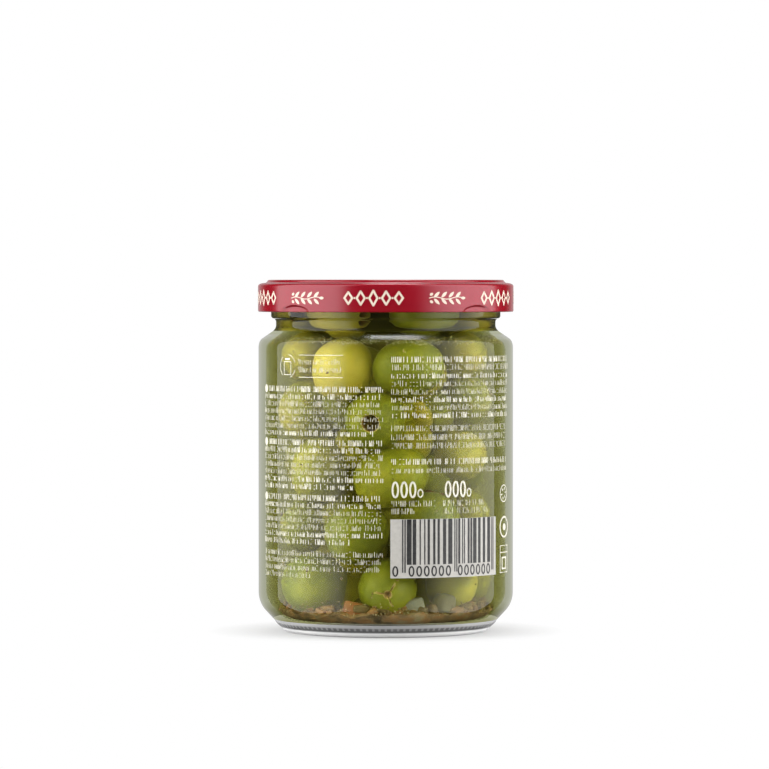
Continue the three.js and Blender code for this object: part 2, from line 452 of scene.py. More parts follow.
def foot_material():
    """The foot in level bands of grey, which are painted reflections and shade, with the grip bars pale as
    painted highlights. It is a colour by height, set to the bands of the photo, and bends no light."""
    n = material("foot_glass")
    x, y, z = [n.axis(n.where(), name) for name in "XYZ"]
    level = n.math("DIVIDE", z, FOOT_TOP * MM)
    turn = n.math("ARCTAN2", x, y)
    wave = n.math("COSINE", n.times(turn, float(KNURLS)))
    off = n.math("ABSOLUTE", n.math("SUBTRACT", level, KNURL_HEIGHT / FOOT_TOP))
    # The grip bars are painted pale, as highlights on them.
    bar = n.times(n.math("GREATER_THAN", wave, 0.3), n.math("LESS_THAN", off, 0.09))
    bands = n.ramp(level, *[(at, grey(tone)) for at, tone in FOOT_LIGHT_AND_SHADE])
    band = n.mix(n.times(bar, 0.3), bands, grey(0.6))
    front = n.front()
    clear = n.out("BsdfTransparent", Color=n.mix(front, grey(1), band))
    body = n.blend(n.times(front, 0.55), clear, n.out("BsdfDiffuse", Color=band))
    return n.close(n.mirrored(body, front))


def brine_material():
    """Yellow-green brine: no surface of its own against the glass, only what it absorbs and scatters."""
    n = material("brine")
    absorbs = n.out("VolumeAbsorption", Color=(0.63, 0.63, 0.3, 1), Density=100.0)
    cloud = n.out("VolumeScatter", Color=(0.92, 0.81, 0.14, 1), Density=7.0)
    both = n.fill(n.add("AddShader"), absorbs, cloud)
    return n.close(n.out("BsdfTransparent", Color=grey(1)), both)


def olive_material():
    """Moist mottled green skin, and the pale inside where the olive is cut and in its pit hole, painted
    brown and darker deeper in as shade.
    """
    n = material("olive_skin")
    tone = n.attribute("tone")
    inside = n.attribute("inside")
    broad = n.noise(95.0, 3.0, 0.55)
    fine = n.noise(520.0, 4.0, 0.6)
    spots = n.add("TexVoronoi", Vector=n.where(), Scale=900.0).outputs["Distance"]
    skin = n.ramp(
        n.math("ADD", tone, n.math("MULTIPLY_ADD", broad, 1.1, -0.55)),
        (0.0, (0.14, 0.165, 0.008, 1)), (0.35, (0.235, 0.243, 0.012, 1)),
        (0.7, (0.37, 0.33, 0.025, 1)), (1.0, (0.5, 0.41, 0.06, 1)),
    )
    mottled = n.mix(n.times(fine, 0.1), skin, (0.15, 0.16, 0.01, 1))
    pale = n.times(n.math("LESS_THAN", spots, 0.16), 0.03)
    speckled = n.mix(pale, mottled, (0.5, 0.48, 0.22, 1))
    # Inside the olive, where it is cut and in its pit hole, the colour turns browner and darker the deeper
    # in, as painted shade.
    flesh_and_hole_shade = n.ramp(
        inside,
        (0.0, (0.4, 0.34, 0.1, 1)), (0.45, (0.26, 0.14, 0.05, 1)), (1.0, (0.07, 0.03, 0.012, 1)),
    )
    return n.close(n.out(
        "BsdfPrincipled",
        Base_Color=n.mix(n.math("GREATER_THAN", inside, 0.04), speckled, flesh_and_hole_shade),
        Roughness=n.math("MULTIPLY_ADD", fine, 0.25, 0.28),
        Normal=n.relief(fine, 0.05, 0.0002),
        Subsurface_Weight=0.25,
        Subsurface_Radius=(1.0, 0.7, 0.25),
        Subsurface_Scale=0.0025,
    ))


def shade_core_material():
    """A near-black brown between the olives: painted shade deep inside the jar."""
    n = material("painted_shade_core")
    colour = n.ramp(n.noise(160.0, 4.0), (0.3, (0.012, 0.01, 0.003, 1)), (0.75, (0.08, 0.055, 0.015, 1)))
    return n.close(n.out("BsdfPrincipled", Base_Color=colour, Roughness=0.7))


def bed_material():
    """Brown mud of herbs with lighter and darker crumbs in it."""
    n = material("brown_bed")
    crumb = n.add("TexVoronoi", Vector=n.where(), Scale=1100.0).outputs["Distance"]
    brown = n.ramp(
        n.noise(180.0, 4.0),
        (0.36, (0.065, 0.042, 0.018, 1)), (0.48, (0.19, 0.12, 0.055, 1)),
        (0.57, (0.26, 0.13, 0.05, 1)), (0.68, (0.22, 0.18, 0.1, 1)),
    )
    light = n.times(n.math("LESS_THAN", crumb, 0.3), 0.35)
    colour = n.mix(light, brown, (0.24, 0.18, 0.09, 1))
    relief = n.relief(crumb, 0.5, 0.0004)
    return n.close(n.out("BsdfPrincipled", Base_Color=colour, Roughness=0.75, Normal=relief))


def lacquer_material():
    """Deep red lacquer on tinplate, with a faint orange-peel gloss and a broad sheen."""
    n = material("red_lacquer")
    cloud = n.noise(60.0, 3.0)
    gloss = n.out(
        "BsdfPrincipled",
        Base_Color=n.ramp(cloud, (0.2, (0.108, 0.0003, 0.0022, 1)), (0.8, (0.125, 0.0004, 0.003, 1))),
        IOR=1.5,
        Specular_IOR_Level=0.86,
        Roughness=n.math("MULTIPLY_ADD", cloud, 0.05, 0.17),
        Normal=n.relief(n.noise(1400.0, 2.0), 0.015, 0.0001),
    )
    sheen = n.out("BsdfGlossy", Color=(0.045, 0.0003, 0.009, 1), Roughness=0.36)
    return n.close(n.fill(n.add("AddShader"), gloss, sheen))


def ink_material(name, dark, light):
    """Screen-printed ink, a little uneven."""
    n = material(name)
    cloud = n.noise(900.0, 3.0)
    colour = n.ramp(cloud, (0.3, (*dark, 1)), (0.7, (*light, 1)))
    rough = n.math("MULTIPLY_ADD", cloud, 0.15, 0.4)
    return n.close(n.out("BsdfPrincipled", Base_Color=colour, Roughness=rough))


# The glass and the brine


def glass_knurl(radius, height, angle):
    """The outside of the heel carries a row of small bars just above the standing ring."""
    off = abs(height - KNURL_HEIGHT) / KNURL_REACH
    if off >= 1 or radius < FOOT_RADIUS + 1:
        return radius
    wave = max(0.0, math.cos(KNURLS * angle))
    return radius + KNURL_DEPTH * wave * (1 - off * off)


def glass_jar():
    points = profile(
        (0, 1.6),
        (FOOT_RADIUS - 7, 1.3, 3),
        (FOOT_RADIUS - 4.6, 1.2, FOOT_RADIUS - 3.8, 0.5, 4),
        (FOOT_RADIUS - 3.4, 0, FOOT_RADIUS - 2.9, 0, 3),
        (FOOT_RADIUS, 0),
        (FOOT_RADIUS + 1.4, 0, FOOT_RADIUS + 2.2, 1),
        (FOOT_RADIUS + 4.84, 4, 10),
        (BODY_RADIUS - 2.1, 6.7, 3),
        (BODY_RADIUS, 9.1, BODY_RADIUS, HEEL_TOP, 10),
        (BODY_RADIUS, SHOULDER_FOOT, 8),
        (BODY_RADIUS, SHOULDER_FOOT + 2.3, BODY_RADIUS - 1.2, SHOULDER_FOOT + 3.1, 8),
        (NECK_RADIUS + 1.2, NECK_FOOT - 2, 2),
        (NECK_RADIUS, NECK_FOOT - 1.1, NECK_RADIUS, NECK_FOOT),
        (NECK_RADIUS, NECK_FOOT + 1),
        (NECK_RADIUS, BEAD_FOOT - 0.3, NECK_RADIUS + 0.8, BEAD_FOOT),
        (BEAD_RADIUS, BEAD_FOOT + 0.2, BEAD_RADIUS, BEAD_FOOT + 1),
        (BEAD_RADIUS, BEAD_FOOT + 2.1),
        (BEAD_RADIUS, BEAD_FOOT + 3, BEAD_RADIUS - 0.9, BEAD_FOOT + 3.2),
        (BEAD_RADIUS - 0.9, RIM - 0.7),
        (BEAD_RADIUS - 0.9, RIM, BEAD_RADIUS - 1.6, RIM, 4),
        (NECK_INSIDE + 1.5, RIM),
        (NECK_INSIDE + 0.8, RIM, NECK_INSIDE + 0.8, RIM - 0.7, 4),
    )
    verts, faces = turned(points + inner_wall(0), KNURLS * 4, glass_knurl)
    glasses = [thick_glass_material(), wall_material(), wetted_material(), foot_material()]
    piece = make_piece("glass", verts, faces, glasses, sharp=50)
    for face in piece.data.polygons:
        face.material_index = kind_of_glass(face.center / MM, face.normal)
    # Left out of mirrors, so that the bead doesn't hide the lamp from the shoulder
    piece.visible_glossy = False
    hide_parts("glass_jar")


def kind_of_glass(middle, normal):
    """Which of the glass's four materials a face has, from its middle and the way it faces."""
    thick, wall, wetted, foot = range(4)
    outward = normal.x * middle.x + normal.y * middle.y > 0
    flat = abs(normal.z) > 0.9
    if middle.z < FOOT_TOP and (outward or flat) and normal.z < 0.5:
        return foot
    if outward and FOOT_TOP < middle.z < WALL_TOP:
        return wall
    if middle.z < BRINE_TOP and (not outward or flat and middle.z > FLOOR - 0.5):
        return wetted
    return thick


def inner_wall(grow):
    """The inside of the glass from the mouth down to the middle of the floor, moved out by grow."""
    body, neck = BODY_INSIDE + grow, NECK_INSIDE + grow
    floor = FLOOR - grow
    return profile(
        (neck, BEAD_FOOT + 4),
        (neck, NECK_FOOT - 0.2, 2),
        (neck, NECK_FOOT - 1.6, neck + 1.4, NECK_FOOT - 2.7),
        (body - 1.4, SHOULDER_FOOT + 2.3, 2),
        (body, SHOULDER_FOOT + 1.3, body, SHOULDER_FOOT - 0.8),
        (body, HEEL_TOP + 0.4, 8),
        (body, HEEL_TOP - 2.5, body - 1.8, HEEL_TOP - 4.4, 8),
        (FOOT_RADIUS + 2.2 + grow, floor + 1.1, 2),
        (FOOT_RADIUS + 1, floor, FOOT_RADIUS - 0.8, floor),
        (0, floor + 0.3, 4),
    )


def brine():
    """The liquid round the olives, which reaches just into the glass."""
    down = inner_wall(INTO_WALL)
    mouth = [(NECK_INSIDE + 0.5, BRINE_TOP), (0, BRINE_TOP)]
    verts, faces = turned(down[::-1] + mouth, 96)
    piece = make_piece("brine", verts, faces, [brine_material()], sharp=50)


# The olives


OLIVE_STEPS = 22
CUT_REACH = 4.2
CUT_DEPTH = 0.8


def olive_profile(length, girth):
    """From the middle of the pit hole's floor, up its wall and over the skin to the other pole, as
    (distance along the axis, radius, how far inside). The axis runs from the hole to the cut."""
    half, wide = length / 2, girth / 2
    hole = min(2.7, wide * 0.32)
    depth = 1.8 * hole
    rim = half * math.sqrt(1 - (hole / wide) ** 2)
    points = [(rim - depth, 0.0, 1.0), (rim - depth, hole * 0.6, 1.0)]
    points.append((rim - depth * 0.85, hole * 0.85, 0.9))
    for i in range(3):
        points.append((rim - depth * (0.6 - 0.22 * i), hole * (0.9 + 0.02 * i), 0.75 - 0.25 * i))
    points.append((rim - 0.25, hole, 0.12))
    points.append((rim - 0.02, hole * 1.1, 0.0))
    start = math.asin(hole * 1.22 / wide)
    for i in range(OLIVE_STEPS + 1):
        t = start + (math.pi - 0.03 - start) * (i / OLIVE_STEPS) ** 0.92
        blunt = math.sin(t) ** 0.94
        points.append((half * math.cos(t), wide * blunt, 0.0))
    points.append((-half, 0.0, 0.0))
    return points


def one_olive(shape, sides, rng):
    """Points, faces and values of one olive, in its place in the jar."""
    profile = olive_profile(shape["length"], shape["girth"])
    offset = Vector((rng.uniform(0, 90), rng.uniform(0, 90), rng.uniform(0, 90)))
    slits = [rng.uniform(0, 0.4) + 2 * math.pi * k / 3 for k in range(3)]
    verts, inside, rings = [], [], []
    for along, radius, depth in profile:
        count = 1 if radius == 0 else sides
        rings.append([len(verts) + (k if count > 1 else 0) for k in range(sides)])
        for k in range(count):
            turn = 2 * math.pi * k / sides
            point = Vector((along, radius * math.cos(turn), radius * math.sin(turn)))
            lump = noise.noise(point * 0.11 + offset) + 0.4 * noise.noise(point * 0.3 + offset)
            point *= 1 + 0.05 * lump * (1 - depth)
            cut = slit_depth(turn, radius, along, slits, sides) if shape.get("end") == "cut" else 0.0
            point.x += cut * 1.6
            verts.append(point)
            inside.append(max(depth, min(1.0, cut * 1.1)))
    return [olive_matrix(shape) @ v for v in verts], walls(rings, over=True), inside


def slit_depth(turn, radius, along, slits, sides):
    """How deep the crossed cut is at a point near the olive's far pole: 0 beside its three slits."""
    if along > 0 or radius > CUT_REACH:
        return 0.0
    if radius < 0.4:
        return CUT_DEPTH
    nearest = min(abs((turn - s + math.pi) % (2 * math.pi) - math.pi) for s in slits)
    return CUT_DEPTH * (1 - radius / CUT_REACH) if nearest < math.pi / sides else 0.0


def olive_matrix(shape):
    """Turns an olive's own long axis, +X at its hole, to its lean, its bearing and its place."""
    lean, end = math.radians(shape["lean"]), shape.get("end")
    if end:
        outward = math.pi / 2 if end == "cut" else -math.pi / 2
        pose = Matrix.Rotation(outward, 4, "Z") @ Matrix.Rotation(lean, 4, "Y")
    else:
        pose = Matrix.Rotation(-lean, 4, "Y") @ Matrix.Rotation(shape.get("roll", 0), 4, "X")
        if shape["bearing"] < 0:
            pose = pose @ Matrix.Rotation(math.pi, 4, "Z")
    middle = place_at(shape["bearing"], shape.get("ring", RING_RADIUS), shape["height"])
    return Matrix.Translation(middle) @ Matrix.Rotation(math.radians(shape["bearing"]), 4, "Z") @ pose


def drawn_olive(draw, bearing, height, swing, rise, lengths, girths, steepest, **more):
    """An olive drawn at random round a bearing and a height."""
    return dict(
        bearing=bearing + draw(-swing, swing),
        height=height + draw(-rise, rise),
        length=draw(*lengths),
        girth=draw(*girths),
        lean=draw(-steepest, steepest),
        **more,
    )


def outer_olives():
    """One for each olive of the solid: the rows with those behind them, and the ring in the neck."""
    draw = Draws(4711).between
    shapes = []
    for values in ROWS:
        row = [dict(zip(OLIVE_KEYS, olive)) for olive in values]
        shapes += row
        first, height = row[-1]["bearing"], row[1]["height"]
        step = (row[0]["bearing"] + 360 - first) / (BEHIND + 1)
        for i in range(1, BEHIND + 1):
            shapes.append(drawn_olive(draw, first + step * i, height, **BEHIND_OLIVE))
    for i in range(NECK_OLIVES):
        bearing = NECK_BEARING + 360 * i / NECK_OLIVES
        shapes.append(drawn_olive(draw, bearing, NECK_OLIVE_HEIGHT, **NECK_OLIVE))
    parted = shapes[-NECK_OLIVES]
    parted["bearing"] += NECK_PARTING
    # It is darker than the others, as painted shade beside the gap.
    parted["tone"] = 0.3
    return shapes


def inner_olives(rng):
    """Olives nearer the axis, which close the gaps between the outer ones."""
    shapes = []
    for level in range(INNER_LEVELS):
        for i in range(INNER_OLIVES):
            bearing = INNER_TURN * level + 360 * i / INNER_OLIVES
            height = INNER_FOOT + INNER_STEP * level
            shapes.append(drawn_olive(rng.uniform, bearing, height, **INNER_OLIVE))
    return shapes


def joined_olives(name, shapes, sides, skin, rng):
    verts, faces, tone, inside = [], [], [], []
    for shape in shapes:
        shape.setdefault("tone", rng.uniform(0.1, 0.8))
        shape.setdefault("roll", rng.uniform(0, 2 * math.pi))
        points, quads, open_part = one_olive(shape, sides, rng)
        faces += [tuple(i + len(verts) for i in quad) for quad in quads]
        verts += points
        tone += [shape["tone"]] * len(points)
        inside += open_part
    floats = {"tone": tone, "inside": inside}
    stands_for_heap(make_piece(name, verts, faces, [skin], sharp=60, floats=floats))


def bed():
    """The soft brown bed of crumbs on the floor, uneven on top."""
    points = profile(
        (0, FLOOR + 0.4),
        (FOOT_RADIUS - 1, FLOOR + 0.2),
        (BED_RADIUS + 4, FLOOR + 1.3),
        (BED_RADIUS + 5.6, BED_TOP + 0.6, 2),
        (BED_RADIUS + 4.6, BED_TOP + 0.9, 2),
        (0, BED_TOP + 0.9, 16),
    )
    verts, faces = turned(points, 240)
    heaped = []
    for x, y, z in verts:
        rise = 1.6 * noise.noise((x * 0.17, y * 0.17, 0)) + 0.4 * noise.noise((x * 0.7, y * 0.7, 4))
        dent = 1 - 0.025 * abs(noise.noise((x * 0.4, y * 0.4, z * 0.6)))
        heaped.append((x * dent, y * dent, z + (rise if z > BED_TOP + 0.5 else 0)))
    stands_for_heap(make_piece("bed", heaped, faces, [bed_material()]))


def painted_shade_core():
    """What fills the middle of the jar, dark as painted shade among the olives."""
    points = profile(
        (0, BED_TOP - 1),
        (CORE_RADIUS, BED_TOP - 0.8),
        (CORE_RADIUS, NECK_OLIVE_HEIGHT + 4, 4),
        (0, NECK_OLIVE_HEIGHT + 4.4),
    )
    verts, faces = turned(points, 48)
    stands_for_heap(make_piece("painted_shade_core", verts, faces, [shade_core_material()]))


# The scraps among the olives


def ball(subdivisions):
    """Points and faces of a round ball of radius one."""
    mesh = bmesh.new()
    bmesh.ops.create_icosphere(mesh, subdivisions=subdivisions, radius=1)
    points = [v.co.copy() for v in mesh.verts]
    faces = [tuple(v.index for v in face.verts) for face in mesh.faces]
    mesh.free()
    return points, faces


def turned_by(bearing, tilt):
    """Tilts a scrap about its own Y axis, then turns it to a bearing."""
    return Matrix.Rotation(math.radians(bearing), 3, "Z") @ Matrix.Rotation(math.radians(tilt), 3, "Y")


class Scraps:
    """Many small bodies joined in one piece, each with a tone."""

    def __init__(self):
        self.verts, self.faces, self.tones = [], [], []

    def add(self, points, faces, tone):
        self.faces += [tuple(i + len(self.verts) for i in face) for face in faces]
        self.verts += points
        self.tones += [tone] * len(points)

    def lump(self, base, middle, size, tone, rng, jitter=0.25):
        """A ball drawn out to a size along three axes, dented and turned at random."""
        points, faces = base
        turn = Euler([rng.uniform(0, math.pi) for _ in range(3)]).to_matrix()
        shaped = []
        for point in points:
            dented = point * (1 + rng.uniform(-jitter, jitter))
            shaped.append(middle + turn @ Vector([c * s / 2 for c, s in zip(dented, size)]))
        self.add(shaped, faces, tone)

    def nugget(self, base, middle, bearing, size, tilt, tone):
        """A soft piece with flattened sides, between a ball and a block."""
        points, faces = base
        turn = turned_by(bearing, tilt)
        shaped = []
        for point in points:
            squared = [math.copysign(abs(c) ** 0.6, c) * s / 2 for c, s in zip(point, size)]
            dent = 1 + 0.12 * noise.noise(point * 1.3 + middle)
            shaped.append(middle + turn @ (Vector(squared) * dent))
        self.add(shaped, faces, tone)

    def make(self, name, material, sharp=50):
        floats = {"tone": self.tones}
        stands_for_heap(make_piece(name, self.verts, self.faces, [material], sharp=sharp, floats=floats))


def scrap_material(name, stops, rough=0.55):
    """Soft wet scraps whose tone picks their colour."""
    n = material(name)
    tone = n.attribute("tone")
    cloud = n.noise(700.0, 3.0)
    hue = n.math("ADD", tone, n.math("MULTIPLY_ADD", cloud, 0.5, -0.25))
    return n.close(n.out(
        "BsdfPrincipled",
        Base_Color=n.ramp(hue, *stops),
        Roughness=rough,
        Normal=n.relief(cloud, 0.4, 0.0002),
        Subsurface_Weight=0.2,
        Subsurface_Radius=(1.0, 0.6, 0.3),
        Subsurface_Scale=0.001,
    ))


# How many scraps of each kind, and the ranges of their place and size in millimetres
CRUMBS = 3200
CRUMB_RING = (25, 33.6)
CRUMB_PILE = 4.2
CRUMB_SIZE = (0.2, 0.75)
CRUMB_STOPS = ((0.0, (0.12, 0.08, 0.035, 1)), (0.4, (0.2, 0.15, 0.07, 1)), (1.0, (0.32, 0.27, 0.15, 1)))


def sediment(rng):
    """Crumbs of herbs and vegetables on the floor of the jar."""
    scraps, base = Scraps(), ball(1)
    for _ in range(CRUMBS):
        radius = rng.uniform(*CRUMB_RING)
        height = BED_TOP + 0.2 + rng.uniform(0, 1) ** 3 * CRUMB_PILE
        size = [rng.uniform(*CRUMB_SIZE) for _ in range(3)]
        middle = place_at(rng.uniform(-180, 180), radius, height)
        scraps.lump(base, middle, size, rng.uniform(0, 1), rng)
    scraps.make("sediment", scrap_material("crumbs", CRUMB_STOPS))


SOFT_SCRAPS = 150
SOFT_RING = (26, 32)
SOFT_RISE = (0.4, 2.6)
SOFT_SIZES = ((2.4, 6.5), (1.6, 3), (1.6, 3.4))
SOFT_STOPS = ((0.0, (0.08, 0.06, 0.025, 1)), (0.55, (0.17, 0.09, 0.035, 1)), (1.0, (0.24, 0.11, 0.04, 1)))


def soft_scraps(rng):
    """Soft lumps of pepper and herbs, sunk in the bed."""
    scraps, base = Scraps(), ball(3)
    for _ in range(SOFT_SCRAPS):
        bearing = rng.uniform(-180, 180)
        middle = place_at(bearing, rng.uniform(*SOFT_RING), BED_TOP + rng.uniform(*SOFT_RISE))
        size = [rng.uniform(*span) for span in SOFT_SIZES]
        scraps.nugget(base, middle, bearing, size, rng.uniform(-30, 30), rng.uniform(0, 1))
    scraps.make("soft_scraps", scrap_material("soft", SOFT_STOPS))


FLECKS = 150
FLECK_RING = (33.8, 36.6)
FLECK_HEIGHTS = (9, 90)
FLECK_SIZES = ((0.6, 1.9), (0.3, 0.8))
FLECK_THICKNESS = 0.18
FLECK_STOPS = ((0.0, (0.02, 0.015, 0.005, 1)), (0.5, (0.12, 0.06, 0.02, 1)), (1.0, (0.3, 0.24, 0.08, 1)))


def herb_flecks(rng):
    """Thin flecks of herbs that drift near the glass."""
    scraps, base = Scraps(), ball(1)
    for _ in range(FLECKS):
        middle = place_at(rng.uniform(-180, 180), rng.uniform(*FLECK_RING), rng.uniform(*FLECK_HEIGHTS))
        size = [rng.uniform(*span) for span in FLECK_SIZES] + [FLECK_THICKNESS]
        scraps.lump(base, middle, size, rng.uniform(0, 1), rng)
    scraps.make("herb_flecks", scrap_material("herbs", FLECK_STOPS))


# Drops of oil in the ring at the shoulder and loose round it. The heights are the lowest, the
# highest and the commonest.
RING_DROPS = 2000
RING_HEIGHTS = (89.8, 92.8, 91.3)
LOOSE_DROPS = 260
LOOSE_HEIGHTS = (86.5, 97.5, 91.2)
DROP_INSET = (0.4, 1.1)
DROP_SIZE = (0.12, 0.44)
DROP_STOPS = ((0.0, (0.2, 0.18, 0.07, 1)), (1.0, (0.42, 0.4, 0.21, 1)))


def oil_drops(rng):
    """Small pale drops of oil that have risen to the shoulder and the neck."""
    scraps, base = Scraps(), ball(1)
    for i in range(RING_DROPS + LOOSE_DROPS):
        height = rng.triangular(*(RING_HEIGHTS if i < RING_DROPS else LOOSE_HEIGHTS))
        wall = BODY_INSIDE - max(0, height - SHOULDER_FOOT - 0.5) * 0.9
        middle = place_at(rng.uniform(-180, 180), wall - rng.uniform(*DROP_INSET), height)
        across = rng.uniform(*DROP_SIZE)
        scraps.lump(base, middle, (across, across, across), rng.uniform(0, 1), rng, jitter=0)
    scraps.make("oil_drops", scrap_material("oil", DROP_STOPS, rough=0.2), sharp=0)


STRIP_STEPS = 10
STRIP_SIDES = 16


def strip(middle, bearing, size, curl, tilt, tone, scraps, rng):
    """A strip cut from a vegetable: long, wide and thick, curled along its length."""
    long, wide, thick = size
    turn = turned_by(bearing, tilt)
    points = []
    for i in range(STRIP_STEPS + 1):
        t = i / STRIP_STEPS * 2 - 1
        end = (1 - abs(t) ** 6) ** 0.5 * 0.25 + 0.75
        for j in range(STRIP_SIDES):
            a = 2 * math.pi * j / STRIP_SIDES
            square = max(abs(math.cos(a)), abs(math.sin(a))) ** 0.8
            y = thick / 2 * math.cos(a) / square * end
            z = wide / 2 * math.sin(a) / square * end + rng.uniform(-0.06, 0.06)
            points.append(middle + turn @ Vector((long / 2 * t, y + curl * t * t, z)))
    rings = [range(i, i + STRIP_SIDES) for i in range(0, len(points), STRIP_SIDES)]
    ends = [tuple(rings[0]), tuple(reversed(rings[-1]))]
    scraps.add(points, walls(rings, over=True) + ends, tone)


PEPPER_STOPS = ((0.0, (0.12, 0.03, 0.008, 1)), (0.6, (0.2, 0.06, 0.015, 1)), (1.0, (0.26, 0.1, 0.03, 1)))
# The root pieces run from grey-green to pale. The palest stop, bluish white, which the second piece takes at
# full tone, is a painted highlight.
ROOT_AND_HIGHLIGHT_STOPS = ((0.0, (0.07, 0.06, 0.03, 1)), (0.5, (0.13, 0.12, 0.065, 1)), (1.0, (0.2, 0.2, 0.21, 1)))

# Strips of pepper: bearing, radius, height, (long, wide, thick), curl, tilt, tone
PEPPERS = [
    (-58, 30.4, 8.2, (13, 4.6, 1.6), 1.6, -14, 0.6),
    (-17, 31.2, 8.6, (8.5, 4.4, 1.6), 0.9, 12, 0.7),
    (46, 28.2, 7.6, (9, 3.4, 1.4), 1, 4, 0.3),
    (84, 24, 58, (9, 4, 1.4), 1, 50, 0.4),
    (45, 22, 44.5, (8, 3.6, 1.4), 0.8, 10, 0.6),
    (128, 29.6, 8.4, (12, 4.2, 1.6), 1.4, 8, 0.5),
    (-140, 29.8, 8.2, (11, 4.4, 1.6), 1.2, -10, 0.7),
]

# Pieces of root vegetable: bearing, radius, height, (long, thick, tall), tilt, tone
CUBES = [
    (37, 30, 10, (7.2, 5, 6.2), 6, 0.25),
    (17, 29.6, 9.6, (6.4, 3.4, 4.8), -14, 1.0),
    (-160, 30, 9.2, (6, 4.6, 5.2), 10, 0.3),
    (105, 31, 9, (5.4, 3, 4.2), -20, 0.6),
]


def vegetables(rng):
    """Strips of pepper and pieces of root vegetable, most of them near the floor."""
    peppers, cubes = Scraps(), Scraps()
    for bearing, radius, height, size, curl, tilt, tone in PEPPERS:
        strip(place_at(bearing, radius, height), bearing, size, curl, tilt, tone, peppers, rng)
    for bearing, radius, height, size, tilt, tone in CUBES:
        cubes.nugget(ball(4), place_at(bearing, radius, height), bearing, size, tilt, tone)
    peppers.make("peppers", scrap_material("pepper", PEPPER_STOPS, rough=0.4))
    cubes.make("cubes", scrap_material("root", ROOT_AND_HIGHLIGHT_STOPS, rough=0.45))


# The lid


TUCK_HALF_WIDTH = 6.6
TUCK_HEIGHT = 2.3
TUCK_DEPTH = 0.8


def lug_tuck(radius, height, angle):
    """Over each lug the skirt's lower edge is tucked in, in the shape of an arch."""
    if radius < LID_RADIUS - 1:
        return radius
    spacing = 2 * math.pi / LUGS
    off = (angle - math.radians(LUG_BEARING) + spacing / 2) % spacing - spacing / 2
    arch = 1 - (off * LID_RADIUS / TUCK_HALF_WIDTH) ** 2 - ((height - LID_FOOT) / TUCK_HEIGHT) ** 2
    if arch <= 0:
        return radius
    press = min(1.0, arch * 1.8)
    return radius - TUCK_DEPTH * press * press * (3 - 2 * press)


def lid():
    """From the underside of the panel down inside the skirt, round the curl and up over the top."""
    points = profile(
        (0, PANEL_TOP - 0.7),
        (PANEL_RADIUS - 0.4, PANEL_TOP - 0.7),
        (STEP_RADIUS - 0.6, PANEL_TOP - 0.9),
        (SKIRT_INSIDE, PANEL_TOP - 1.1, SKIRT_INSIDE, PANEL_TOP - 2.4),
        (SKIRT_INSIDE, LID_FOOT + 2),
        (CURL_INSIDE, LID_FOOT + 1.5),
        (CURL_INSIDE, LID_FOOT + 0.5),
        (CURL_INSIDE, LID_FOOT, CURL_INSIDE + 0.5, LID_FOOT, 4),
        (LID_RADIUS - 0.5, LID_FOOT),
        (LID_RADIUS, LID_FOOT, LID_RADIUS, LID_FOOT + 0.5, 5),
        (LID_RADIUS, LID_FOOT + 3, 10),
        (LID_RADIUS, JAR_HEIGHT - 2.1, 3),
        (LID_RADIUS, JAR_HEIGHT - 1.2, LID_RADIUS - 1.6, JAR_HEIGHT - 1),
        (STEP_RADIUS + 0.5, JAR_HEIGHT - 0.92),
        (STEP_RADIUS + 0.1, JAR_HEIGHT - 0.85, STEP_RADIUS - 0.1, JAR_HEIGHT - 0.45, 4),
        (STEP_RADIUS - 0.3, JAR_HEIGHT, STEP_RADIUS - 0.9, JAR_HEIGHT, 4),
        (PANEL_RADIUS + 0.9, JAR_HEIGHT),
        (PANEL_RADIUS + 0.4, JAR_HEIGHT, PANEL_RADIUS, PANEL_TOP, 4),
        (BUTTON_RADIUS + 1, PANEL_TOP, 4),
        (BUTTON_RADIUS + 0.4, PANEL_TOP, BUTTON_RADIUS, PANEL_TOP + 0.3, 4),
        (0, PANEL_TOP + 0.4, 4),
    )
    verts, faces = turned(points, 288, lug_tuck)
    piece = make_piece("lid_shell", verts, faces, [lacquer_material()], sharp=35)
    # Left out of mirrors, like the glass, so that it doesn't hide the lamp from the shoulder
    piece.visible_glossy = False
    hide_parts("lid")


# The print and the lid's ornament


INK_TOP = 0.05
INK_FOOT = 0.005


